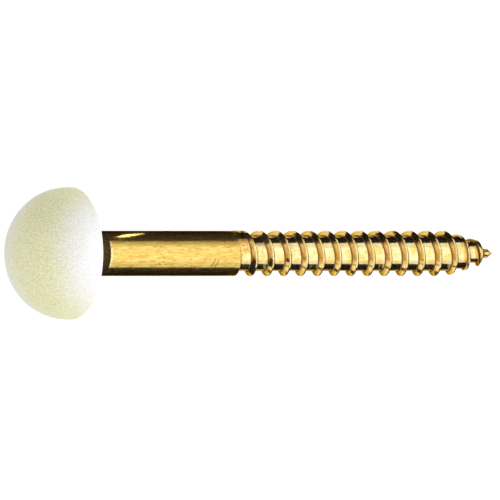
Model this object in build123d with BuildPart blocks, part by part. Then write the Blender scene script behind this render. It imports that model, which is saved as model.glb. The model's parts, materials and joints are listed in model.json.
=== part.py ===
from build123d import *
from math import asin, atan, ceil, cos, degrees, floor, hypot, radians, sin, tan
import os

# A capped floor screw, which holds a toilet's foot down to a wooden floor: a brass wood screw
# whose head is hidden in a domed plastic cap, moulded round it. Sizes are in millimetres.
#
# Each piece is drawn upright on the screw's own axis, with +z towards the point. z = 0 is the
# seat: the cap's flat underside, which presses on the foot. Both are then laid on the floor.

os.makedirs("parts", exist_ok=True)

# ---------------------------------------------------------------- cap
cap_radius = 8.8
cap_land = 0.8  # straight side between the seat and the dome
dome_height = 8.25
seat_edge = 0.25  # rounding of the edge round the seat

# ---------------------------------------------------------------- head, inside the cap
head_flats = 9.5
head_thickness = 4.0
seat_to_head = 1.5  # plastic between the seat and the head
neck_flare = 0.6  # the shank widens by this between the seat and the head
mould_gap = 0.0  # the plastic shrinks tight onto the brass

# ---------------------------------------------------------------- shank and thread
reach = 63.5  # from the seat to the end of the point
shank_radius = 3.0
pitch = 2.54  # ten turns to the inch
crest_radius = 3.03
root_radius = 2.33
crest_flat = 0.2
flank_angle = 30.0  # each flank, from square to the axis
first_groove = 24.16  # height where the middle of the groove starts, on the +x side
run_in_turns = 0.28  # the groove reaches its full depth over this share of a turn
swell_start = 23.5  # the shank steps up to the crests here
swell_length = 0.6

# ---------------------------------------------------------------- gimlet point
crest_taper_length = 7.1  # from where the crests shrink to the end of the point
crest_taper = 15.2
root_taper_length = 6.0  # from where the root shrinks to the end of the point
root_taper = 19.4
point_pitch = 2.2  # the thread closes up where the root shrinks
nose_length = 2.35  # from the end of the thread to the end of the point
nose_shoulder = 0.9  # cone between the thread and the pin
pin_radius = 0.61
pin_cone_length = 0.85
groove_end_length = 2.32  # from the end of the groove to the end of the point

# ---------------------------------------------------------------- what follows from these
thread_depth = crest_radius - root_radius
flank_width = thread_depth * tan(radians(flank_angle))
root_flat = pitch - crest_flat - 2 * flank_width
crest_taper_start = reach - crest_taper_length
root_taper_start = reach - root_taper_length
nose_start = reach - nose_length
taper_turn = (root_taper_start - first_groove) / pitch
last_turn = taper_turn + (root_taper_length - groove_end_length) / point_pitch

# ---------------------------------------------------------------- room for the cutters
cutter_margin = 0.1  # how far a cutter's flanks stand out of what it cuts
cutter_tail = 0.5  # then its sides run straight out
lap = 0.01  # neighbouring stretches of the groove lap by this share of a turn,
overcut = 0.03  # and its two ends are this much deeper there, so that no two floors match
run_in_sections = 24  # in each turn
tapered_sections = 12
bar_overrun = 2.0  # the bar is longer than the screw until its point is turned
bar_seam = 77.0  # the bar and the turned outline start on sides of their own, in degrees,
outline_seam = 250.0  # so that no two seams meet


def crest_line(height):
    """The crests' radius, which shrinks towards the point."""
    shrink = max(height - crest_taper_start, 0) * tan(radians(crest_taper))
    return crest_radius - shrink


def groove_height(turns):
    """Height of the groove's middle, that many turns after its start."""
    in_point = max(turns - taper_turn, 0)
    return first_groove + pitch * (turns - in_point) + point_pitch * in_point


def groove_section(turns, floor_radius):
    """The cutter in the plane through the axis, that many turns along the groove."""
    in_point = min(max(turns - taper_turn, 0), 1)
    half_floor = (root_flat - (pitch - point_pitch) * in_point) / 2
    flanks = thread_depth + cutter_margin
    half_mouth = half_floor + flanks * tan(radians(flank_angle))
    shoulder, tail = floor_radius + flanks, floor_radius + flanks + cutter_tail
    middle = groove_height(turns)
    with BuildSketch(Plane.XZ.rotated((0, 0, 360 * turns))) as section:
        with BuildLine():
            Polyline(
                (floor_radius, middle - half_floor),
                (shoulder, middle - half_mouth),
                (tail, middle - half_mouth),
                (tail, middle + half_mouth),
                (shoulder, middle + half_mouth),
                (floor_radius, middle + half_floor),
                close=True,
            )
        make_face()
    return section.sketch


def straight_cutter(first_turn, last_turn):
    """The groove at its full depth and pitch, as one sweep along a helix."""
    height = pitch * (last_turn - first_turn)
    with BuildPart() as cutter:
        with BuildLine() as path:
            Helix(pitch, height, root_radius, center=(0, 0, groove_height(first_turn)))
        section = groove_section(first_turn, root_radius)
        sweep(section.rotate(Axis.Z, -360 * first_turn), path.line, is_frenet=True)
    return cutter.part.rotate(Axis.Z, 360 * first_turn)


def varying_cutter(first_turn, last_turn, floor_line, sections_per_turn):
    """The groove where its depth changes, lofted through many sections round the axis."""
    steps = ceil((last_turn - first_turn) * sections_per_turn)
    with BuildPart() as cutter:
        for step in range(steps + 1):
            turns = first_turn + (last_turn - first_turn) * step / steps
            add(groove_section(turns, floor_line(turns)))
        loft()
    return cutter.part


def run_in_floor(turns):
    """The groove starts just above the shank and dives to its full depth, and a hair under."""
    start, end = crest_radius + cutter_margin / 2, root_radius - overcut
    return start + (end - start) * turns / (run_in_turns + lap)


def tapered_floor(turns):
    """The groove's floor narrows in a cone towards the point."""
    narrowing = (groove_height(turns) - root_taper_start) * tan(radians(root_taper))
    return root_radius - overcut - narrowing


# ---------------------------------------------------------------- brass screw, upright
run_in = varying_cutter(0, run_in_turns + lap, run_in_floor, run_in_sections)
straight = straight_cutter(run_in_turns - lap, taper_turn)
tapered = varying_cutter(taper_turn - lap, last_turn, tapered_floor, tapered_sections)

with BuildPart() as upright_screw:
    with BuildSketch(Plane.XZ.rotated((0, 0, bar_seam))):
        with BuildLine():
            Polyline(
                (0, -seat_to_head),
                (shank_radius + neck_flare, -seat_to_head),
                (shank_radius, 0),
                (shank_radius, swell_start),
                (crest_radius, swell_start + swell_length),
                (crest_radius, reach + bar_overrun),
                (0, reach + bar_overrun),
                close=True,
            )
        make_face()
    revolve(axis=Axis.Z)
    add(straight, mode=Mode.SUBTRACT)
    add(run_in, mode=Mode.SUBTRACT)
    add(tapered, mode=Mode.SUBTRACT)
    # The outline that the screw is turned to: clear of the shank, then down to the point.
    with BuildSketch(Plane.XZ.rotated((0, 0, outline_seam))):
        with BuildLine():
            clear = cap_radius
            clear_start = crest_taper_start - (clear - crest_radius) / tan(radians(crest_taper))
            Polyline(
                (0, -seat_to_head),
                (clear, -seat_to_head),
                (clear, clear_start),
                (crest_line(nose_start), nose_start),
                (pin_radius, nose_start + nose_shoulder),
                (pin_radius, reach - pin_cone_length),
                (0, reach),
                close=True,
            )
        make_face()
    revolve(axis=Axis.Z, mode=Mode.INTERSECT)
    with BuildSketch(Plane.XY.offset(-seat_to_head)):
        RegularPolygon(head_flats / 2, 6, major_radius=False)
    extrude(amount=-head_thickness)

# ---------------------------------------------------------------- plastic cap, upright
with BuildPart() as upright_cap:
    with BuildSketch(Plane.XZ):
        with BuildLine():
            Line((0, 0), (cap_radius, 0))
            Line((cap_radius, 0), (cap_radius, -cap_land))
            EllipticalCenterArc((0, -cap_land), cap_radius, dome_height, -90, arc_size=90)
            Line((0, -cap_land - dome_height), (0, 0))
        make_face()
    revolve(axis=Axis.Z)
    fillet(edges().filter_by(GeomType.CIRCLE).sort_by(Axis.Z)[-1], seat_edge)
    with BuildSketch(Plane.XY.offset(-seat_to_head)):
        Circle(shank_radius + neck_flare + mould_gap)
    with BuildSketch(Plane.XY):
        Circle(shank_radius + mould_gap)
    loft(mode=Mode.SUBTRACT)
    with BuildSketch(Plane.XY.offset(-seat_to_head)):
        RegularPolygon(head_flats / 2 + mould_gap, 6, major_radius=False)
    extrude(amount=-head_thickness, mode=Mode.SUBTRACT)

# ---------------------------------------------------------------- lying on the floor
# The screw rests on the edge of its cap and on a crest near the point, head end high. Seen
# from the side, each crest on the underside gives a slope at which it would touch the floor;
# tipping over from level, the screw stops at the least of them.


def touching_slope(height, radius):
    drop = cap_radius - seat_edge - radius
    run = height + seat_edge
    return degrees(atan(drop / run) + asin(seat_edge / hypot(drop, run)))


underside_turns = 0.75
crest_heights = [
    groove_height(underside_turns + turn + 0.5) + crest_flat / 2
    for turn in range(floor(last_turn - underside_turns))
]
slope = min(touching_slope(height, crest_line(height)) for height in crest_heights)
dip, level = sin(radians(slope)), cos(radians(slope))

# The seat's middle stands this high, and the box round the laid screw is centred on x = 0.
seat_height = (cap_radius - seat_edge) * level + seat_edge * (1 - dip)
dome_end = -cap_land * level - hypot(dome_height * level, cap_radius * dip)
seat_x = -(dome_end + reach * level) / 2
lying = Plane(origin=(seat_x, 0, seat_height), x_dir=(0, 1, 0), z_dir=(level, 0, -dip))

with BuildPart(lying) as screw:
    add(upright_screw.part)

with BuildPart(lying) as cap:
    add(upright_cap.part)

screw.part.label = "screw"
cap.part.label = "cap"
export_step(screw.part, "parts/screw.step")
export_step(cap.part, "parts/cap.step")
print(f"slope {slope:.2f} degrees, seat at x {seat_x:.2f} and z {seat_height:.2f}")
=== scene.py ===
# %% [markdown]
# # A capped floor screw
#
# A toilet's foot is held to a wooden floor by long brass wood screws. The head of each is hidden
# in a domed plastic cap. This lesson gives the screw its smooth surfaces and its two finishes:
# rolled brass and satin ivory plastic. It lies on a pale floor, on the edge of its cap and on a
# crest of its thread near the point.
#
# The CAD model comes in first. Its box is kept, and the lamps are placed round its middle.

import json
from math import atan2, ceil, cos, pi, radians, sin, tan, tau

import bmesh
import bpy
from mathutils import Matrix, Vector
from numpy import interp


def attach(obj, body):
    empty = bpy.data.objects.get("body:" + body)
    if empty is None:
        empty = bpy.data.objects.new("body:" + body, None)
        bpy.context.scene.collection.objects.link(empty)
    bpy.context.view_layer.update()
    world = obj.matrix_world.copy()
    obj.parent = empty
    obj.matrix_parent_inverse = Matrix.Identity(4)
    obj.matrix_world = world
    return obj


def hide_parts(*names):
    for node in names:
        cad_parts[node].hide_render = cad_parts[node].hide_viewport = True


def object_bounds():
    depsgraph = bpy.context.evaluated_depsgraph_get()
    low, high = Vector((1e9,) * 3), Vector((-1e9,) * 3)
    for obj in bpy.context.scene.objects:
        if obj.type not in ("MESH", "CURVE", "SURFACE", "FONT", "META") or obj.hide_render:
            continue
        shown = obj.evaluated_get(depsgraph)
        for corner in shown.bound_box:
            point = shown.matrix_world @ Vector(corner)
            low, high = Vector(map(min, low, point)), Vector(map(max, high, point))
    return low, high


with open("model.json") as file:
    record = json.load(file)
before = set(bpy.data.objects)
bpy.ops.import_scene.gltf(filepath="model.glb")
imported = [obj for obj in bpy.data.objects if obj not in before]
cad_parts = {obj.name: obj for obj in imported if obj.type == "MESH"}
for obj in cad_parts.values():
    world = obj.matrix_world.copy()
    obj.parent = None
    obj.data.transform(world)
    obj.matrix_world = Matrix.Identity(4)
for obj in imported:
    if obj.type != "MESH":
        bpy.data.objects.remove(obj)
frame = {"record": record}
cad_low, cad_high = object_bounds()
print("CAD box in mm:", [round(1000 * side, 2) for side in cad_high - cad_low])

# %% [markdown]
# ## Where the screw lies
#
# Both pieces are turned shapes, so they are easiest to model upright on the z axis, with the
# seat (the cap's flat underside) at z = 0 and the point at the top. One matrix then lays them
# down. It is worked out from the shank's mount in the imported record, which gives the middle of
# the plain shank, its axis and its length. The matrix changes the mesh, not the object, so that
# each object stays at the origin.

# %% The matrix that lays a piece down
MM = 0.001
mounts = {mount["name"]: mount for mount in frame["record"]["mounts"]}
axis = Vector(mounts["shank"]["axis"]).normalized()
shank_length = mounts["shank"]["dims"]["length_mm"]
seat_centre = Vector(mounts["shank"]["pos_m"]) - axis * shank_length * MM / 2
sideways = Vector((0, 1, 0))
upward = axis.cross(sideways)
turned = Matrix((sideways, upward, axis)).transposed().to_4x4()
lying = Matrix.Translation(seat_centre) @ turned @ Matrix.Scale(MM, 4)
print("axis", [round(part, 4) for part in axis], "seat", [round(part, 5) for part in seat_centre])


# %% Finish a piece
def laid_down(bm, name, node):
    """Closes up a bmesh that is upright and in millimetres, and makes it a piece."""
    bmesh.ops.remove_doubles(bm, verts=bm.verts, dist=0.0005)
    bmesh.ops.recalc_face_normals(bm, faces=bm.faces)
    bmesh.ops.transform(bm, matrix=lying, verts=bm.verts)
    open_edges = sum(not edge.is_manifold for edge in bm.edges)
    mesh = bpy.data.meshes.new(name)
    bm.to_mesh(mesh)
    bm.free()
    mesh.shade_smooth()
    piece = bpy.data.objects.new(name, mesh)
    bpy.context.scene.collection.objects.link(piece)
    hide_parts(node)
    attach(piece, "root")
    print(f"{name}: {len(mesh.polygons)} faces, {open_edges} open edges")
    return piece


# %% [markdown]
# ## The cap
#
# The real cap is one moulding: a dome on a short straight land, with a rounded edge round its
# flat underside. Half a flattened sphere would give the dome, but an outline that is drawn once
# as a row of vertices and spun round the z axis brings the land, the edge and the hole for the
# neck with it. The hexagon pocket, which holds the screw's head, is a circle of six vertices,
# bridged to the hole's inner end and extruded.

# %% Sizes of the cap and the head, in millimetres
cap_radius, cap_land, dome_height, seat_edge = 8.8, 0.8, 8.25, 0.25
head_flats, head_thickness, seat_to_head = 9.5, 4.0, 1.5
shank_radius, neck_radius = 3.0, 3.6
hole_rim = 0.4  # a narrow ring of faces round the hole, for even shading
round_steps = 96
print("cap", 2 * cap_radius, "mm across and", round(cap_land + dome_height, 2), "mm high")


# %% Helpers for turned shapes
def polyline(bm, points):
    """A row of vertices (radius, height) in the XZ plane, joined by edges."""
    verts = [bm.verts.new((radius, 0, height)) for radius, height in points]
    edges = [bm.edges.new(pair) for pair in zip(verts, verts[1:])]
    return verts, edges


def spun_round(bm, geometry):
    """A full turn round the z axis, closed where it meets itself."""
    bmesh.ops.spin(
        bm, geom=geometry, cent=(0, 0, 0), axis=(0, 0, 1), dvec=(0, 0, 0),
        angle=tau, steps=round_steps, use_merge=True, use_duplicate=False,
    )
    bmesh.ops.remove_doubles(bm, verts=bm.verts, dist=0.0005)


def ring_at(bm, height):
    """The open edges at that height."""
    return [
        edge for edge in bm.edges
        if edge.is_boundary and all(abs(vert.co.z - height) < 0.01 for vert in edge.verts)
    ]


def hexagon_at(bm, height):
    """Six edges of a hexagon, as wide over its flats as the head."""
    corner = head_flats / 2 / cos(pi / 6)
    made = bmesh.ops.create_circle(bm, cap_ends=False, radius=corner, segments=6)
    bmesh.ops.translate(bm, vec=(0, 0, height), verts=made["verts"])
    return list({edge for vert in made["verts"] for edge in vert.link_edges})


def closed_prism(bm, hexagon, depth):
    """Extrudes a hexagon downwards and closes its end."""
    made = bmesh.ops.extrude_edge_only(bm, edges=hexagon)["geom"]
    verts = [part for part in made if isinstance(part, bmesh.types.BMVert)]
    edges = [part for part in made if isinstance(part, bmesh.types.BMEdge) and part.is_boundary]
    bmesh.ops.translate(bm, vec=(0, 0, -depth), verts=verts)
    bmesh.ops.contextual_create(bm, geom=edges)


# %% The cap's outline, spun
dome_steps, edge_steps = 40, 6
outline = [(0, -cap_land - dome_height)]
for step in range(1, dome_steps + 1):
    turn = radians(90 * step / dome_steps)
    outline.append((cap_radius * sin(turn), -cap_land - dome_height * cos(turn)))
for step in range(edge_steps + 1):
    turn = radians(90 * step / edge_steps)
    outline.append(
        (cap_radius - seat_edge + seat_edge * cos(turn), -seat_edge + seat_edge * sin(turn))
    )
outline += [(shank_radius + hole_rim, 0), (shank_radius, 0), (neck_radius, -seat_to_head)]
bm = bmesh.new()
verts, edges = polyline(bm, outline)
spun_round(bm, verts + edges)
hole = ring_at(bm, -seat_to_head)
pocket = hexagon_at(bm, -seat_to_head)
bmesh.ops.bridge_loops(bm, edges=hole + pocket)
closed_prism(bm, pocket, head_thickness)
cap = laid_down(bm, "ivory_cap", "cap")

# %% [markdown]
# ## The screw
#
# The thread is one groove that winds up the bar. A straight screw thread is made in Blender by
# drawing one pitch of its outline and spinning it with a step upwards, so that each turn ends
# where the next one starts. The Screw modifier does the same, but here the vertices are moved
# afterwards, so they are spun in the mesh. The corners are bevelled first, because a rolled
# thread has no sharp edges.

# %% Sizes of the thread, in millimetres
reach, pitch = 63.5, 2.54
crest_radius, root_radius, crest_flat = 3.03, 2.33, 0.2
flank_slope = tan(radians(30))
first_groove, run_in_turns, swell_length = 24.16, 0.28, 0.6
crest_cone_start, crest_cone = reach - 7.1, tan(radians(15.2))
root_cone_start, root_cone = reach - 6.0, tan(radians(19.4))
point_pitch, groove_end = 2.2, reach - 2.32
nose_start, pin_start, pin_end, pin_radius = reach - 2.35, reach - 1.45, reach - 0.85, 0.61
thread_depth = crest_radius - root_radius
half_floor = pitch / 2 - crest_flat / 2 - thread_depth * flank_slope
cone_turn = (root_cone_start - first_groove) / pitch
last_turn = cone_turn + (groove_end - root_cone_start) / point_pitch
print(f"{last_turn:.2f} turns of groove")

# %% One pitch of the thread, spun upwards
mouth = half_floor + thread_depth * flank_slope
profile = [
    (crest_radius, -pitch / 2), (crest_radius, -mouth), (root_radius, -half_floor),
    (root_radius, half_floor), (crest_radius, mouth), (crest_radius, pitch / 2),
]
first_copy, last_copy = -1, ceil(last_turn) + 1
bm = bmesh.new()
verts, edges = polyline(
    bm, [(radius, first_groove + first_copy * pitch + height) for radius, height in profile]
)
crest_corners, crest_rounding = [verts[1], verts[4]], 0.03
root_corners, root_rounding = [verts[2], verts[3]], 0.09
for corners, rounding in (crest_corners, crest_rounding), (root_corners, root_rounding):
    bmesh.ops.bevel(
        bm, geom=corners, offset=rounding, offset_type="OFFSET", segments=3, profile=0.5,
        affect="VERTICES", material=-1,
    )
longest = max(bm.edges, key=bmesh.types.BMEdge.calc_length)
bmesh.ops.subdivide_edges(bm, edges=[longest], cuts=3)
bmesh.ops.spin(
    bm, geom=bm.verts[:] + bm.edges[:], cent=(0, 0, 0), axis=(0, 0, 1),
    dvec=(0, 0, pitch / round_steps), angle=tau, steps=round_steps,
    use_merge=False, use_duplicate=False,
)
one_turn = bm.verts[:] + bm.edges[:] + bm.faces[:]
for turn in range(1, last_copy - first_copy):
    copied = bmesh.ops.duplicate(bm, geom=one_turn)["geom"]
    raised = [part for part in copied if isinstance(part, bmesh.types.BMVert)]
    bmesh.ops.translate(bm, vec=(0, 0, turn * pitch), verts=raised)
bmesh.ops.remove_doubles(bm, verts=bm.verts, dist=0.001)
print(len(bm.verts), "vertices in the straight thread")

# %% [markdown]
# ### From a straight thread to a wood screw's
#
# A real wood screw is rolled, and its thread changes along the way. It fades in from the shank,
# and near the point its crests and its root narrow in two cones while the turns close up. The
# spun thread has the right faces already, so its vertices only have to move. Where a vertex
# belongs follows from its angle and its height: the turn it is on, how far across the groove it
# lies, and how deep.

# %% How the thread changes along the screw
swell_end = shank_length + swell_length
outline_heights = [shank_length, swell_end, crest_cone_start, nose_start, pin_start, pin_end]
nose_radius = crest_radius - (nose_start - crest_cone_start) * crest_cone
outline_radii = [shank_radius, crest_radius, crest_radius, nose_radius, pin_radius, pin_radius]
above_shank, no_groove = 0.05, 9  # floors that leave the outline as it is
thinnest_flank = 0.02


def groove_height(turns):
    """Height of the groove's middle, that many turns after its start."""
    in_point = max(turns - cone_turn, 0)
    return first_groove + pitch * (turns - in_point) + point_pitch * in_point


def floor_radius(turns):
    """The groove's floor: it dives in over the first part of a turn, then follows its cone."""
    dive = interp(turns, [0, run_in_turns], [crest_radius + above_shank, root_radius])
    narrowing = max(groove_height(turns) - root_cone_start, 0) * root_cone
    return no_groove if turns > last_turn else dive - narrowing


def moved(vert):
    """Where a vertex of the straight thread belongs on the real one."""
    around = atan2(vert.co.y, vert.co.x) / tau
    turns = around + round((vert.co.z - first_groove) / pitch - around)
    across = vert.co.z - first_groove - pitch * turns
    side = 1 if across > 0 else -1
    share = (crest_radius - vert.co.xy.length) / thread_depth
    middle, floor = groove_height(turns), floor_radius(turns)
    next_crest = abs(groove_height(turns + side) - middle) / 2
    depth = max(interp(middle + across, outline_heights, outline_radii) - floor, 0)
    narrowed = (pitch - point_pitch) / 2 * min(max(turns - cone_turn, 0), 1)
    half_width = half_floor - narrowed
    half_mouth = half_width + max(depth * flank_slope, thinnest_flank)
    height = middle + side * interp(
        abs(across), [0, half_floor, mouth, pitch / 2], [0, half_width, half_mouth, next_crest]
    )
    outer = interp(height, outline_heights, outline_radii)
    radius = outer - share * max(outer - floor, 0)
    return Vector((radius * cos(tau * around), radius * sin(tau * around), height))


for vert in bm.verts:
    vert.co = moved(vert)
print("thread from", round(min(vert.co.z for vert in bm.verts), 2), "mm above the seat")

# %% [markdown]
# ### The shank, the point and the head
#
# The thread's two ends are cut square. Each cut leaves a ring of open edges, and the rest of the
# screw is extruded from those rings: downwards the plain shank, the flared neck and the hexagon
# head, upwards the small pin that the rolling dies leave at the point.


# %% Square ends, then extruded rings
def cut_square(height, keep_above):
    """Cuts the thread at a height and drops one side of it."""
    bmesh.ops.bisect_plane(
        bm, geom=bm.verts[:] + bm.edges[:] + bm.faces[:], dist=0.0001,
        plane_co=(0, 0, height), plane_no=(0, 0, 1),
        clear_inner=keep_above, clear_outer=not keep_above,
    )
    bmesh.ops.remove_doubles(bm, verts=bm.verts, dist=0.001)


def on_radius(verts, height, radius):
    """Puts vertices on a circle round the axis, each at its own angle."""
    for vert in verts:
        flat = vert.co.xy.normalized() * radius
        vert.co = Vector((flat.x, flat.y, height))


def pulled(edges, height, radius):
    """Extrudes a ring to a new height and radius, and returns the new ring."""
    made = bmesh.ops.extrude_edge_only(bm, edges=edges)["geom"]
    on_radius([part for part in made if isinstance(part, bmesh.types.BMVert)], height, radius)
    return [
        part for part in made if isinstance(part, bmesh.types.BMEdge) and part.is_boundary
    ]


shank_top = 23.2  # just below the swell
tip, tip_radius = reach - 0.02, 0.03
cut_square(shank_top, keep_above=True)
cut_square(pin_start, keep_above=False)
neck = pulled(ring_at(bm, shank_top), 0, shank_radius)
neck = pulled(neck, -seat_to_head, neck_radius)
hexagon = hexagon_at(bm, -seat_to_head)
bmesh.ops.bridge_loops(bm, edges=neck + hexagon)
closed_prism(bm, hexagon, head_thickness)
point = ring_at(bm, pin_start)
on_radius({vert for edge in point for vert in edge.verts}, pin_start, pin_radius)
point = pulled(point, pin_end, pin_radius)
point = pulled(point, tip, tip_radius)
bmesh.ops.contextual_create(bm, geom=point)
screw = laid_down(bm, "brass_screw", "screw")
weighted = screw.modifiers.new("Weighted normals", "WEIGHTED_NORMAL")
weighted.weight = 80

# %% [markdown]
# ## Shader maths as expressions
#
# A material is a tree of nodes. Sums are easier to read as expressions, so a small class wraps
# one socket and turns + - * / and ** into Math nodes. Every other node comes from one method.


# %% A value in a material
class Value:
    """One output socket, for use in sums."""

    def __init__(self, finish, socket):
        self.finish, self.socket = finish, socket

    def sum(self, operation, first, second=0.0):
        return self.finish.node("Math", {"operation": operation}, {0: first, 1: second})

    def __add__(self, other):
        return self.sum("ADD", self, other)

    def __sub__(self, other):
        return self.sum("SUBTRACT", self, other)

    def __rsub__(self, other):
        return self.sum("SUBTRACT", other, self)

    def __mul__(self, other):
        return self.sum("MULTIPLY", self, other)

    def __truediv__(self, other):
        return self.sum("DIVIDE", self, other)

    def __rtruediv__(self, other):
        return self.sum("DIVIDE", other, self)

    def __pow__(self, other):
        return self.sum("POWER", self, other)

    def __abs__(self):
        return self.sum("ABSOLUTE", self)

    __radd__, __rmul__ = __add__, __mul__


# %% A material under construction
class Finish:
    """The nodes of a material, or of the world."""

    def __init__(self, owner, surface="Principled BSDF"):
        owner.use_nodes = True
        self.owner, self.tree = owner, owner.node_tree
        self.surface = self.tree.nodes[surface]

    def node(self, kind, settings=None, inputs=None, output=0):
        """Adds a node: its settings first, then the values or links of its sockets."""
        node = self.tree.nodes.new("ShaderNode" + kind)
        for name, value in (settings or {}).items():
            setattr(node, name, value)
        self.fill(node, inputs or {})
        return Value(self, node.outputs[output])

    def fill(self, node, inputs):
        """Links each wrapped socket to an input, and sets any other value on it."""
        for name, value in inputs.items():
            if isinstance(value, Value):
                self.tree.links.new(value.socket, node.inputs[name])
            else:
                node.inputs[name].default_value = value

    def upright(self, stretch=(1, 1, 1)):
        """Places on the upright piece, in millimetres, optionally stretched."""
        place = self.node("TexCoord", output="Object")
        location, turn, _ = lying.decompose()
        upright = self.node(
            "Mapping", {"vector_type": "TEXTURE"},
            {"Vector": place, "Location": location, "Rotation": turn.to_euler(),
             "Scale": (MM, MM, MM)},
        )
        return self.node("Mapping", None, {"Vector": upright, "Scale": stretch})

    def noise(self, place, scale, detail=2.0):
        return self.node("TexNoise", None, {"Vector": place, "Scale": scale, "Detail": detail})

    def ramp(self, value, low, high):
        """0 below low, 1 above high."""
        return self.node(
            "MapRange", {"interpolation_type": "SMOOTHSTEP"},
            {"Value": value, "From Min": low, "From Max": high},
        )

    def mix(self, share, first, second):
        """The first colour where the share is 0, the second where it is 1."""
        return self.node(
            "Mix", {"data_type": "RGBA"}, {0: share, 6: first, 7: second}, output=2
        )

    def bump(self, height, distance):
        return self.node("Bump", None, {"Height": height, "Distance": distance, "Strength": 1.0})


# %% [markdown]
# ## Ivory plastic
#
# The cap is a satin moulding. The finely sparked mould leaves a grain of a tenth of a millimetre,
# which holds a trace of grime. Over its ivory, the cap is painted paler along its upper side, a
# painted highlight, and underneath, painted light, so it stays yellower over its crown and
# flanks.
# Both come from noise and ramps on the piece's own coordinates, so they stay with the cap when it
# is turned.

# %% Ivory plastic
plastic = Finish(bpy.data.materials.new("ivory_plastic"))
place = plastic.upright()
up = plastic.node("SeparateXYZ", None, {"Vector": place}, output="Y")
height = plastic.node("SeparateXYZ", None, {"Vector": place}, output="Z")
grain = plastic.noise(place, 6.0, 3)
cloud = plastic.noise(place, 0.35, 3)
speckle = plastic.ramp(grain, 0.35, 0.65) * 0.7 + 0.3
# painted highlight and painted light: the ivory turns pale along the cap's upper side and
# underneath
painted_cap_highlight = plastic.ramp(up + height * 0.5 + (cloud - 0.5) * 3, 1.5, 8.0)
painted_cap_highlight = painted_cap_highlight + (1 - plastic.ramp(up, -2.0, 2.0)) * 0.5
ivory = plastic.mix(speckle, (0.58, 0.56, 0.21, 1), (0.96, 0.94, 0.63, 1))
# the colour of the painted highlight
pale = plastic.mix(speckle, (0.72, 0.72, 0.68, 1), (0.95, 0.95, 0.98, 1))
plastic.fill(plastic.surface, {
    "Base Color": plastic.mix(painted_cap_highlight, ivory, pale),
    "Roughness": 0.45 + grain * 0.15,
    "Normal": plastic.bump(grain, 0.00004),
    "Specular IOR Level": 0.7,
    "Sheen Weight": 0.25,
    "Sheen Roughness": 0.3,
})
cap.data.materials.append(plastic.owner)
print(len(plastic.tree.nodes), "nodes in the ivory plastic")

# %% [markdown]
# ## Rolled brass
#
# Brass is a metal, so its colour is the colour of its reflections. The shank keeps the fine
# lengthwise lines of the drawn wire. The thread was pressed in by rolling dies, and its root and
# its crests are a bright gold. Its flanks are painted a deeper, uneven gold, a painted reflection
# of the turns in each other, and its corners are painted dark, a line of painted shade. To know
# them apart, the material works out the same things as the thread's own code: how far across the
# groove a place lies, and how deep. Small pits, a painted highlight line round the shank just
# past the cap, and two nicks near the thread finish it.

# %% Where a place lies on the thread
brass = Finish(bpy.data.materials.new("rolled_brass"))
place = brass.upright()
split = brass.node("SeparateXYZ", None, {"Vector": place})
x, y, z = (Value(brass, split.socket.node.outputs[side]) for side in "XYZ")


def above(value, start):
    """How far a value is past its start, or 0."""
    return value.sum("MAXIMUM", value - start)


radius = (x * x + y * y) ** 0.5
around = y.sum("ARCTAN2", y, x) / tau
turns = (z - first_groove) / pitch + above(z, root_cone_start) * (1 / point_pitch - 1 / pitch)
phase = turns.sum("FRACT", turns - around + 0.5) - 0.5
across = abs(phase) * pitch
root = root_radius - above(z, root_cone_start) * root_cone
share = (radius - root) / (crest_radius - above(z, crest_cone_start) * crest_cone - root)
thread = brass.ramp(z, 24.2, 24.5)
print(len(brass.tree.nodes), "nodes find the place")

# %% Drawing marks, pits, patina, and the painted shade and highlight
drawn = brass.noise(brass.upright((1, 1, 0.12)), 5.0, 4)
marks = brass.noise(brass.node("CombineXYZ", None, {0: radius, 1: across, 2: around}), 9.0, 3)
cloud = brass.noise(place, 0.9, 4)
patches = brass.noise(brass.upright((1, 1, 0.4)), 3.0, 5)
pits = brass.ramp(brass.noise(place, 4.0, 0), 0.76, 0.80)
flank = brass.ramp(share, 0.05, 0.15) * (1 - brass.ramp(share, 0.85, 0.95)) * thread
# painted shade: the groove's corners, where flank meets root, are painted dark
corner = brass.ramp(across, half_floor - 0.12, half_floor - 0.03)
corner = corner * (1 - brass.ramp(across, half_floor + 0.04, half_floor + 0.13)) * thread
patina = brass.ramp(patches, 0.52, 0.66) * (1 - thread * 0.7)
# painted highlight: a bright line round the shank just past the collar card's dark strip
painted_shank_highlight = brass.ramp(z, 4.15, 4.2) * (1 - brass.ramp(z, 4.4, 4.55))
print(len(brass.tree.nodes), "nodes with the marks")


# %% Two nicks near the thread
def nick(share_round, height, slant=7):
    """A short score across the shank, which falls by its slant in a full turn."""
    off_side = around - share_round
    off_line = z - height + off_side * slant
    return (1 - brass.ramp(abs(off_line), 0.04, 0.11)) * (
        1 - brass.ramp(abs(off_side), 0.026, 0.038)
    )


nicks = nick(0.319, 19.75) + nick(0.326, 20.25)

# %% Colours of the brass
# dark grime for the nicks, and painted shade for the groove's corners
grime_and_shade = (0.20, 0.11, 0.03, 1)
shank_colour = brass.mix(
    brass.ramp(drawn, 0.35, 0.65), (0.74, 0.47, 0.10, 1), (0.85, 0.65, 0.20, 1)
)
# the painted highlight line on the shank
shank_colour = brass.mix(painted_shank_highlight, shank_colour, (0.90, 0.78, 0.38, 1))
rolled_colour = brass.mix(
    brass.ramp(cloud, 0.35, 0.60), (0.88, 0.62, 0.20, 1), (0.93, 0.79, 0.40, 1)
)
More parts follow.
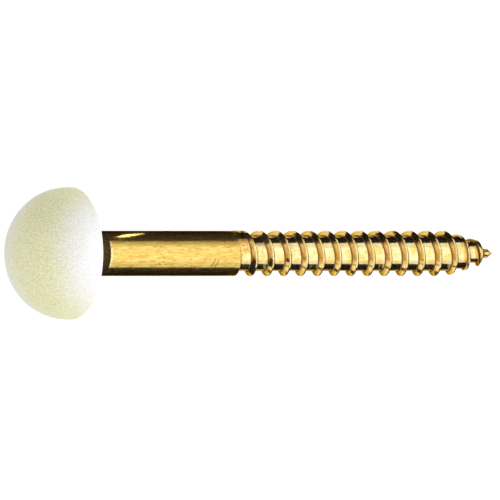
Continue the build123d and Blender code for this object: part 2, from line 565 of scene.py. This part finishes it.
# painted reflection: the flanks are painted a deeper, more orange gold for the turns reflected in
# each other, broken up by the marks
flank_marks_and_reflection = brass.mix(
    brass.ramp(marks, 0.38, 0.64), (0.64, 0.33, 0.06, 1), (0.95, 0.70, 0.26, 1)
)
colour = brass.mix(thread, shank_colour, rolled_colour)
colour = brass.mix(flank, colour, flank_marks_and_reflection)
colour = brass.mix(patina * 0.5, colour, (0.55, 0.30, 0.06, 1))
colour = brass.mix(pits * 0.8, colour, (0.16, 0.09, 0.03, 1))
colour = brass.mix(nicks * 0.7, colour, grime_and_shade)
# painted shade in the groove's corners
colour = brass.mix(corner * 0.8, colour, grime_and_shade)

# %% Rolled brass
brass.fill(brass.surface, {
    "Base Color": colour,
    "Metallic": 1.0,
    "Roughness": 0.10 + drawn * 0.08 + (1 - thread) * 0.05 + corner * 0.2 + patina * 0.1,
    "Normal": brass.bump(brass.mix(thread, drawn, cloud), 0.00001),
    "Specular Tint": (0.35, 0.22, 0.08, 1),
})
screw.data.materials.append(brass.owner)
print(len(brass.tree.nodes), "nodes in the rolled brass")

# %% [markdown]
# ## Floor and background
#
# The floor is pale and takes the shadow. What the camera, metal and glass see of it is lifted to
# white, which is done in its material and costs the object nothing. The world above it does the
# same with its strength.


# %% Floor and world
def seen(finish):
    """1 for what the camera sees, straight or in a mirror or through glass, otherwise 0."""
    rays = ("Is Camera Ray", "Is Glossy Ray", "Is Transmission Ray")
    return sum(finish.node("LightPath", output=ray) for ray in rays)


floor = Finish(bpy.data.materials.new("pale_floor"))
floor.fill(floor.surface, {
    "Base Color": (0.86, 0.86, 0.86, 1), "Roughness": 1.0, "Specular IOR Level": 0.0,
    "Emission Color": floor.mix(seen(floor), (0, 0, 0, 1), (0.5, 0.5, 0.5, 1)),
    "Emission Strength": 1.0,
})
bm = bmesh.new()
bmesh.ops.create_grid(bm, x_segments=1, y_segments=1, size=2.0)
mesh = bpy.data.meshes.new("floor")
bm.to_mesh(mesh)
bm.free()
ground = bpy.data.objects.new("floor", mesh)
ground.data.materials.append(floor.owner)
bpy.context.scene.collection.objects.link(ground)

studio = bpy.data.worlds.new("studio")
bpy.context.scene.world = studio
sky = Finish(studio, "Background")
sky.fill(sky.surface, {"Color": (1, 1, 1, 1), "Strength": 0.9 + seen(sky) * 0.1})
print("floor", [round(side, 1) for side in ground.dimensions], "m")

# %% [markdown]
# ## The viewing angle
#
# The camera looks down on the screw from behind its cap: the line of sight leans 28.4 degrees
# from square to the axis. The lamps are placed from the same angle, mirrored, because brass that
# faces up reflects what stands on the far side of square.

# %% The viewing angle
lean = radians(28.4)
towards_camera = upward * cos(lean) - axis * sin(lean)
towards_lamps = upward * cos(lean) + axis * sin(lean)
view_right = axis * cos(lean) + upward * sin(lean)
print("towards the camera", [round(part, 3) for part in towards_camera])

# %% [markdown]
# ## Lamps
#
# The white world gives most of the light, soft and from all sides. Two area lamps give the cap
# its fall from light to shade. The key is broad and weak, and lights both pieces. The glow is for
# the plastic alone: light linking keeps it off the brass, which would show it as a white blot.
# A lamp's brightness is given as what a mirror sees in it, where the world's is 1, and its power
# follows from that and from its size.


# %% Lamps
def lamp(name, direction, distance, width, depth, brightness):
    """An area lamp that faces the object."""
    data = bpy.data.lights.new(name, "AREA")
    data.shape, data.size, data.size_y = "RECTANGLE", width, depth
    data.energy = brightness * pi * width * depth
    made = bpy.data.objects.new(name, data)
    made.location = (cad_low + cad_high) / 2 + direction * distance
    along = sideways.cross(direction).normalized()
    made.rotation_euler = Matrix((along, sideways, direction)).transposed().to_euler()
    bpy.context.scene.collection.objects.link(made)
    made.visible_camera = False
    print(f"{name}: {data.energy:.2f} W")
    return made


a_little_aside = (towards_lamps - sideways * 0.12).normalized()
lamp("key", a_little_aside, distance=0.27, width=0.25, depth=0.40, brightness=0.32)
glow = lamp("glow", towards_lamps, distance=0.3, width=0.18, depth=0.18, brightness=2.9)
plastic_only = bpy.data.collections.new("plastic_only")
plastic_only.objects.link(cap)
glow.light_linking.receiver_collection = plastic_only

# %% [markdown]
# ## Cards round the screw
#
# Bright metal shows nothing but what stands around it. In a white room the brass would look like
# flat yellow paint, so black cards are hung beside it, as in any product studio, and their
# reflections draw its shape. They could be painted into the material instead, but then they would
# not move with the light. Each card is made upright, like the pieces, and laid down with the same
# matrix. Only glossy rays meet a card: it throws no shadow, and the camera doesn't see it.

# %% What the cards are made of
black = Finish(bpy.data.materials.new("black_card"))
black.fill(black.surface, {
    "Base Color": (0.03, 0.03, 0.06, 1), "Roughness": 1.0, "Specular IOR Level": 0.0,
})
grey = Finish(bpy.data.materials.new("grey_card"))
grey.fill(grey.surface, {
    "Base Color": (0.08, 0.08, 0.14, 1), "Roughness": 1.0, "Specular IOR Level": 0.0,
})
white = Finish(bpy.data.materials.new("white_card"))
white.fill(white.surface, {
    "Base Color": (0, 0, 0, 1), "Emission Color": (1, 1, 1, 1), "Emission Strength": 5.0,
})
veil = Finish(bpy.data.materials.new("veil"))
upwards = veil.node("SeparateXYZ", None, {"Vector": veil.upright()}, output="Y")
veil.fill(veil.surface, {
    "Base Color": (0, 0, 0, 1), "Emission Strength": 1.0,
    "Emission Color": veil.mix(
        veil.ramp(upwards, 5.0, 19.0), (0.45, 0.38, 0.30, 1), (1.0, 1.0, 1.0, 1)
    ),
})
print("materials of the cards:", [made.owner.name for made in (black, grey, white, veil)])


# %% Hanging a card
def hung(bm, name, finish, shades=False):
    """Hangs a card where only metal sees it, or where it takes light from the cap as well."""
    bmesh.ops.transform(bm, matrix=lying, verts=bm.verts)
    mesh = bpy.data.meshes.new(name)
    bm.to_mesh(mesh)
    bm.free()
    mesh.materials.append(finish.owner)
    made = bpy.data.objects.new(name, mesh)
    bpy.context.scene.collection.objects.link(made)
    made.visible_camera = made.visible_transmission = made.visible_shadow = False
    made.visible_diffuse = shades


def card(name, finish, *corners, shades=False):
    """A flat card from its four corners: sideways, upwards and along the screw."""
    bm = bmesh.new()
    verts = [bm.verts.new(corner) for corner in corners]
    bmesh.ops.contextual_create(bm, geom=verts)
    hung(bm, name, finish, shades)


# %% [markdown]
# ### Cards for the shank
#
# Two grey cards stand along the shank and leave a bright band between their reflections. The
# veil is a softer, graded card behind one of them, which warms that side of the band. A ring
# round the shank gives the dark strip beside the cap, and a small white card a bright streak.

# %% Cards for the shank
foot, end = -12, 25.5  # below the floor, and past the run-out
for side, top in (-5, 3.1), (5, 4.1):
    card("shank_card", grey, (side, foot, 0), (side, top, 0), (side, top, end), (side, foot, end))
card("veil", veil, (12, 3, 3), (12, 19, 3), (12, 19, 35), (12, 3, 35))
streak = (4.9, 1.85, 6.9), (4.9, 1.70, 8.5), (4.9, 0.0, 11.6), (4.9, 0.75, 8.6)
card("streak_card", white, *streak)
collar_height, collar_radius = 4.2, 7.0
bm = bmesh.new()
verts, edges = polyline(
    bm, [(shank_radius + 0.05, collar_height), (collar_radius, collar_height)]
)
spun_round(bm, verts + edges)
hung(bm, "collar_card", grey)
print("collar card", collar_height, "mm from the seat")

# %% [markdown]
# ### Cards for the thread
#
# The root and the crests of the thread send their reflections on towards the point, the flanks
# that face the head send them back and outwards. Solid cards would blacken both. A row of slats
# on each side, turned like a louvre, is closed to the first and open to the second, so the root
# gets its dark ends while the flanks stay gold. The rows draw in as the screw gets thinner.

# %% Cards for the thread
slats, spacing, slat_width, slat_turn = 17, 3.4, 1.7, 2.5
first_slat, drawn_in, lowered = 20, 0.19, 0.065  # the last two by each step
for step in range(slats):
    along, out, top = first_slat + spacing * step, 6.5 - drawn_in * step, 3.6 - lowered * step
    for side, bottom in (-1, -4.0), (1, -2.5):
        near, far, back = side * out, side * (out + slat_width), along - slat_turn
        card(
            "slat", black, (near, bottom, along), (near, top, along),
            (far, top, back), (far, bottom, back),
        )
card("flank_card", black, (6.4, -1.2, 22), (6.4, 3.55, 22), (3.7, 2.6, 72), (3.7, -0.5, 72))
print(2 * slats, "slats")

# %% [markdown]
# ### Flags
#
# A dark band across the far end of the room, behind the cap, deepens the flanks where they face
# it. A flag beside the cap takes light from that side of the dome, so that it looks round: this
# one meets diffuse rays as well.

# %% Flags
card("back_flag", black, (-700, 380, -60), (700, 380, -60), (700, 250, -250), (-700, 250, -250))
card("side_flag", black, (75, -2, -70), (75, 60, -70), (75, 60, 10), (75, -2, 10), shades=True)

# %% [markdown]
# ## Camera
#
# The camera stands far off behind a long lens, so that the near end of the screw is hardly larger
# than the far end. The lens is worked out from how much has to fit across the view at that
# distance.

# %% Camera
distance, view_width, sensor_width = 3.0, 66.225 * MM, 36
right_of_seat, above_axis = 23.48, 0.45  # where the middle of the view lies, in millimetres
target = seat_centre + view_right * right_of_seat * MM + sideways * above_axis * MM
camera_data = bpy.data.cameras.new("camera")
camera_data.sensor_width = sensor_width
camera_data.lens = sensor_width * distance / view_width
camera_data.clip_start, camera_data.clip_end = 0.01, 10
camera = bpy.data.objects.new("camera", camera_data)
camera.location = target + towards_camera * distance
view_axes = Matrix((view_right, sideways, towards_camera)).transposed()
camera.rotation_euler = view_axes.to_euler()
bpy.context.scene.collection.objects.link(camera)
bpy.context.scene.camera = camera
bpy.context.scene.view_settings.view_transform = "Standard"
print(f"lens {camera_data.lens:.0f} mm at {distance} m")
